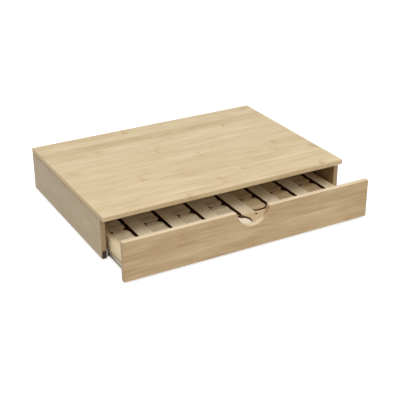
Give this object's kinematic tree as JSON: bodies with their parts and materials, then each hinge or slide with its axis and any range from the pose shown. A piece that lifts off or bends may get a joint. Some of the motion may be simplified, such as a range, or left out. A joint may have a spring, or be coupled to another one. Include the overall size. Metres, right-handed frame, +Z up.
{
  "type": "coffee capsule drawer",
  "caption": "Flat bamboo case with a shallow drawer on ball slides; seat strips and rim slots inside hold coffee capsules lying on their sides.",
  "frame": {"origin": "on the ground, at the middle of the footprint with the drawer partly open as it stands at rest", "axes": "+X to the right seen from the front, +Y to the back, +Z up; the drawer opens towards -Y"},
  "size_m": [0.4, 0.3446, 0.072],
  "materials": {
    "case_bamboo": "light bamboo, satin lacquer",
    "front_bamboo": "light bamboo, satin lacquer",
    "drawer_bamboo": "pale bamboo, sanded",
    "rack_bamboo": "pale bamboo, sanded",
    "seat_bamboo": "darker bamboo, sanded",
    "black_rubber": "matt rubber",
    "rail_steel": "zinc-plated sheet steel",
    "cage_zinc": "bright zinc plate with steel balls"
  },
  "bodies": {
    "case": {"top_panel": "case_bamboo", "left_side_panel": "case_bamboo", "right_side_panel": "case_bamboo", "back_panel": "case_bamboo", "foot_front_left": "black_rubber", "foot_front_right": "black_rubber", "foot_back_left": "black_rubber", "foot_back_right": "black_rubber", "bumper_left": "black_rubber", "bumper_right": "black_rubber", "cabinet_rail_left": "rail_steel", "cabinet_rail_right": "rail_steel"},
    "drawer": {"drawer_front": "front_bamboo", "drawer_side_left": "drawer_bamboo", "drawer_side_right": "drawer_bamboo", "drawer_back": "drawer_bamboo", "drawer_bottom": "drawer_bamboo", "drawer_rail_left": "rail_steel", "drawer_rail_right": "rail_steel", "rack_bearer_front": "drawer_bamboo", "rack_bearer_middle": "drawer_bamboo", "rack_bearer_back": "drawer_bamboo", "rack_rail_front": "rack_bamboo", "rack_rail_back": "rack_bamboo", "rack_slat_1": "rack_bamboo", "rack_slat_2": "rack_bamboo", "rack_slat_3": "rack_bamboo", "rack_slat_4": "rack_bamboo", "rack_slat_5": "rack_bamboo", "rack_slat_6": "rack_bamboo", "rack_slat_7": "rack_bamboo", "seat_strip_1": "seat_bamboo", "seat_strip_2": "seat_bamboo", "seat_strip_3": "seat_bamboo", "seat_strip_4": "seat_bamboo", "seat_strip_5": "seat_bamboo", "seat_strip_6": "seat_bamboo", "seat_strip_7": "seat_bamboo"},
    "left_cage": {"ball_cage_left": "cage_zinc"},
    "right_cage": {"ball_cage_right": "cage_zinc"}
  },
  "joints": [
    {"name": "drawer_slide", "type": "slide", "parent": "case", "child": "drawer", "axis": [0, -1, 0], "range_m": [-0.0645, 0.0955]},
    {"name": "left_cage_slide", "type": "slide", "parent": "case", "child": "left_cage", "axis": [0, -1, 0], "range_m": [-0.0323, 0.0478]},
    {"name": "right_cage_slide", "type": "slide", "parent": "case", "child": "right_cage", "axis": [0, -1, 0], "range_m": [-0.0323, 0.0478]}
  ],
  "couplings": [
    {"joint": "left_cage_slide", "follows": "drawer_slide", "ratio": 0.5},
    {"joint": "right_cage_slide", "follows": "drawer_slide", "ratio": 0.5}
  ]
}
